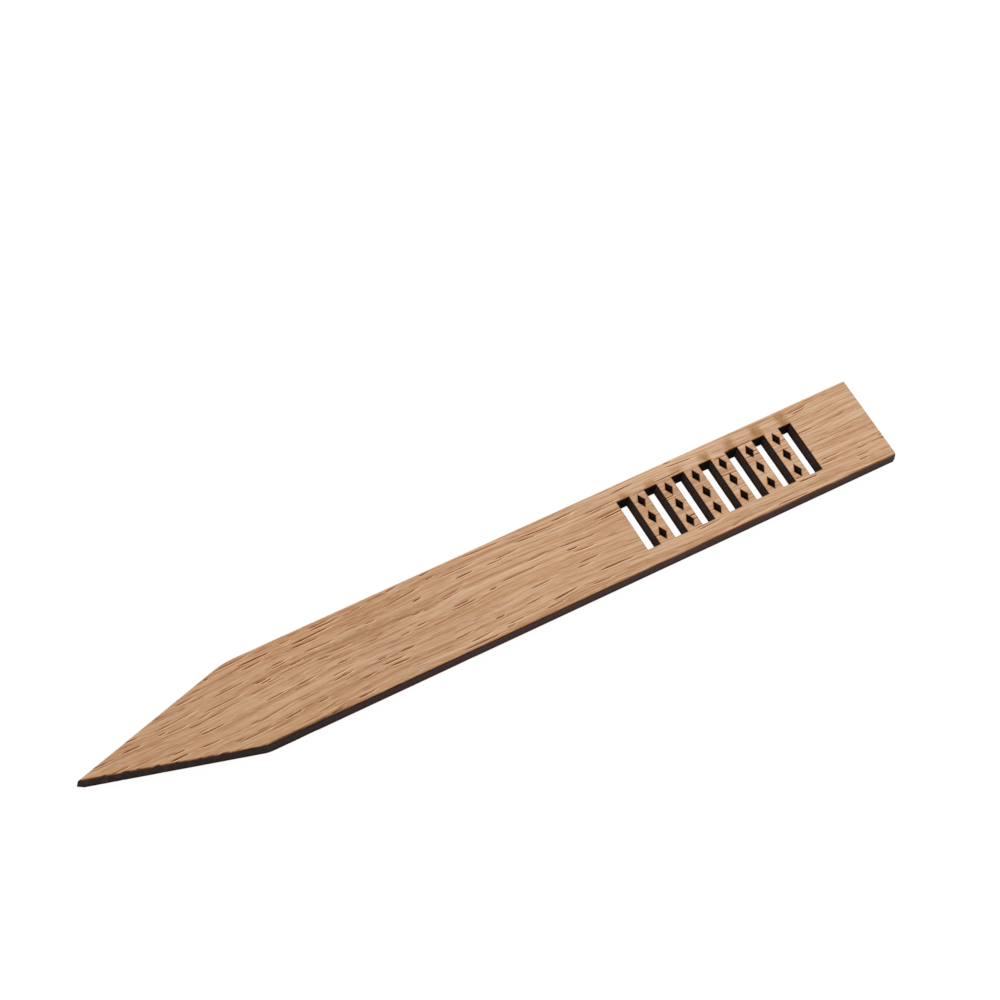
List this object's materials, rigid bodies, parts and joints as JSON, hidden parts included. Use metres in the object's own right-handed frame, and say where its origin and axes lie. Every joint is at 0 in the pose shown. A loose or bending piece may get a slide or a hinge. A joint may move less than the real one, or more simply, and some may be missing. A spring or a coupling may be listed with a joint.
{
  "type": "plant label stake",
  "caption": "Flat pointed stake of oak-veneered board for marking a plant, with a cut-through fretwork band near its butt end.",
  "frame": {"origin": "centre of the stake's bounding box on the plane of its back face, where it rests when it is laid down", "axes": "+X along the stake from its point towards its butt end, +Y across its width, +Z out of the front face"},
  "size_m": [0.1802, 0.0202, 0.0031],
  "materials": {
    "front_oak": "sanded bare oak veneer",
    "fibreboard": "scorched cut edge of fibreboard",
    "back_oak": "sanded bare oak veneer"
  },
  "bodies": {
    "root": {"front_veneer": "front_oak", "core": "fibreboard", "back_veneer": "back_oak"}
  },
  "joints": []
}
